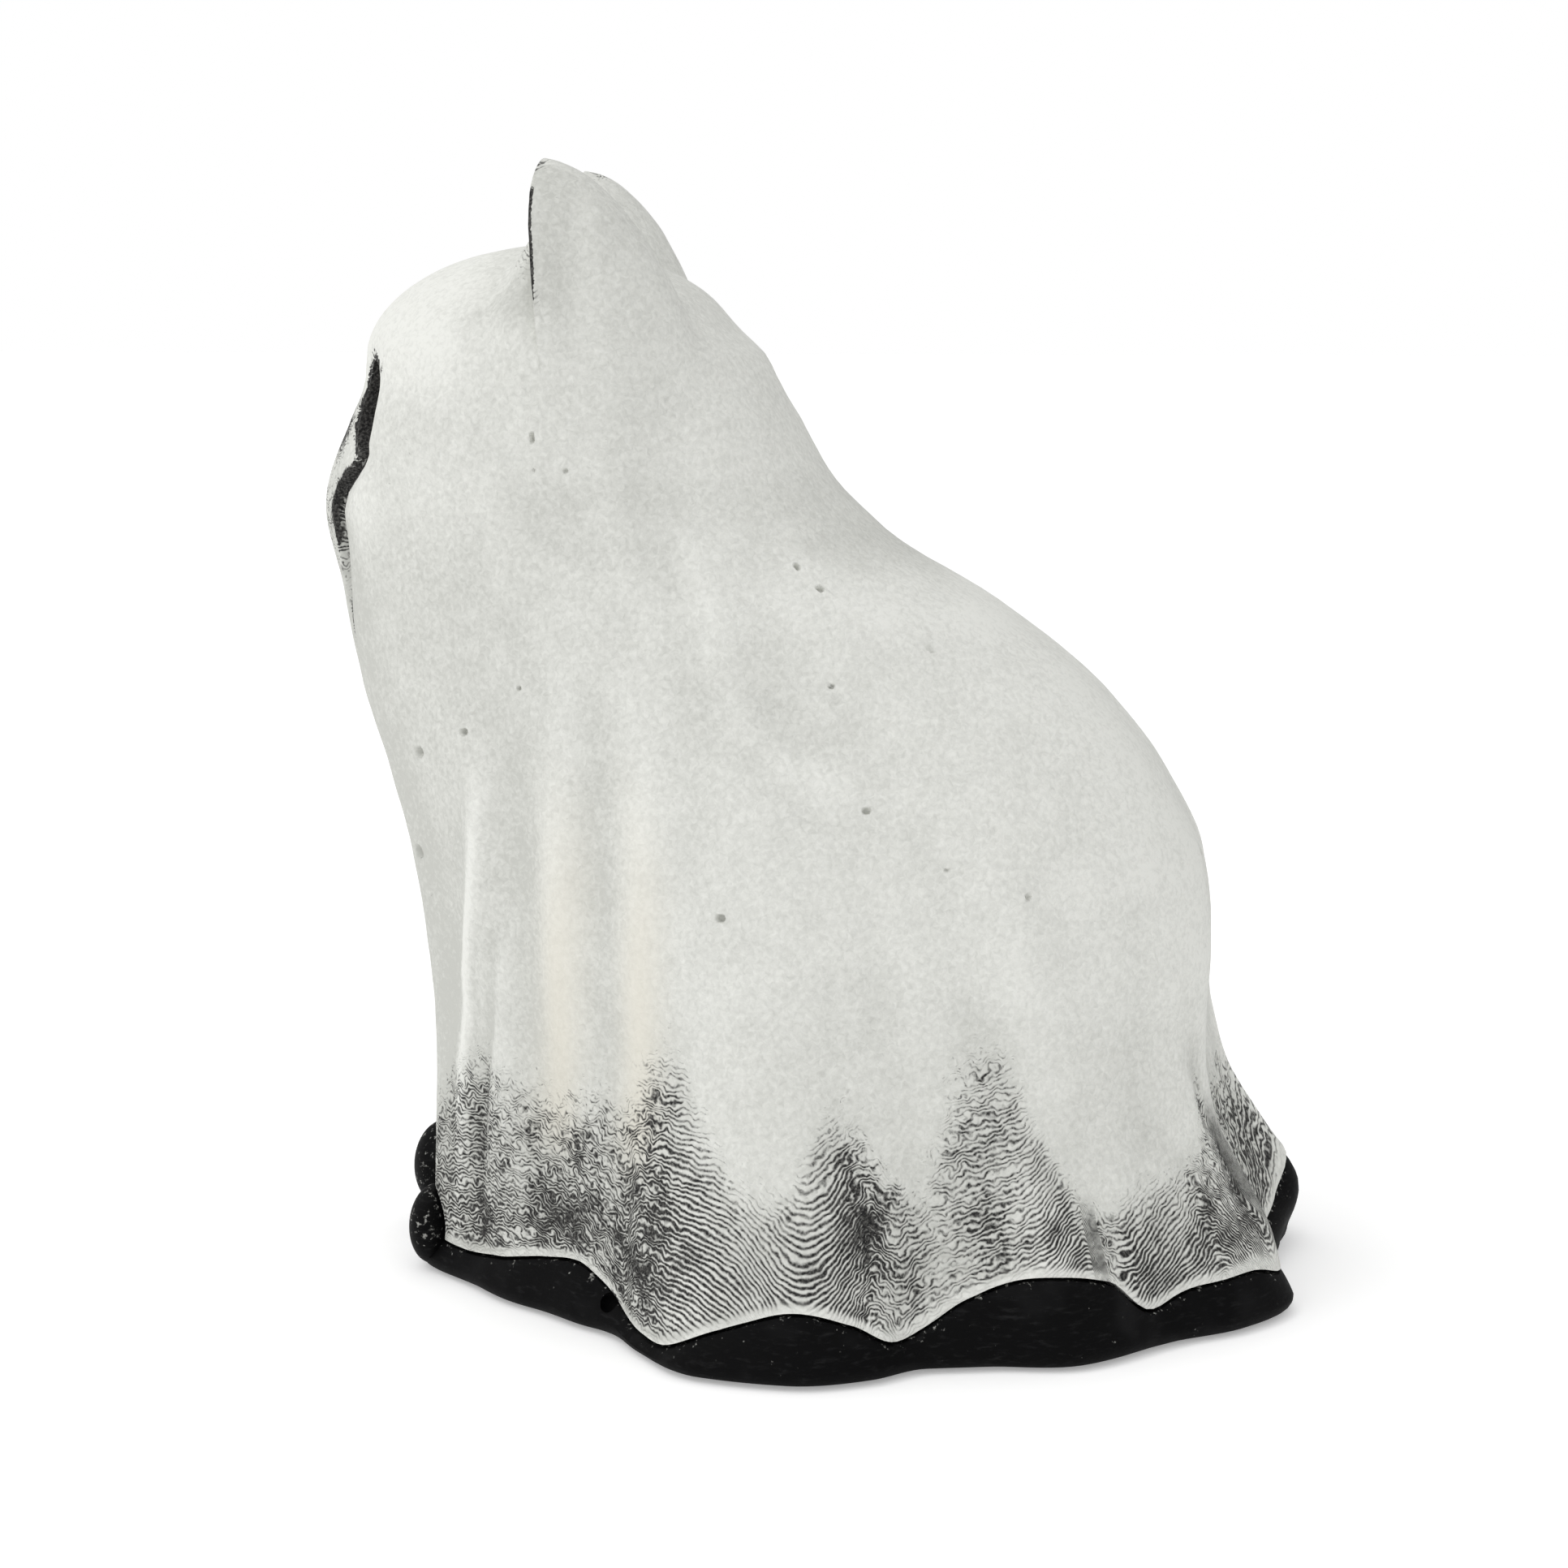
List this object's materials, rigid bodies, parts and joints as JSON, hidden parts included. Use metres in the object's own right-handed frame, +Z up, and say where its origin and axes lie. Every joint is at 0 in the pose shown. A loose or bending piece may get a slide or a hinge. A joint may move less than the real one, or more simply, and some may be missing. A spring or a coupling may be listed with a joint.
{
  "type": "draped cat figurine",
  "caption": "Cast figurine of a seated cat hidden under a draped ghost sheet with pointed ears and open eyes, on a dark lobed plinth with blunt front paws.",
  "frame": {"origin": "middle of the flat resting face under the plinth, at ground level", "axes": "+Z up, -Y towards the front where the cat faces, +X towards the cat's left side"},
  "size_m": [0.0569, 0.0748, 0.0833],
  "materials": {
    "white_sheet": "matt white dry-brushed paint over black, on cast plaster",
    "black_cat": "matt black paint on cast plaster",
    "black_plinth": "matt to satin black paint on cast plaster"
  },
  "bodies": {
    "root": {"ghost_sheet": "white_sheet", "cat_body": "black_cat", "plinth": "black_plinth"}
  },
  "joints": []
}
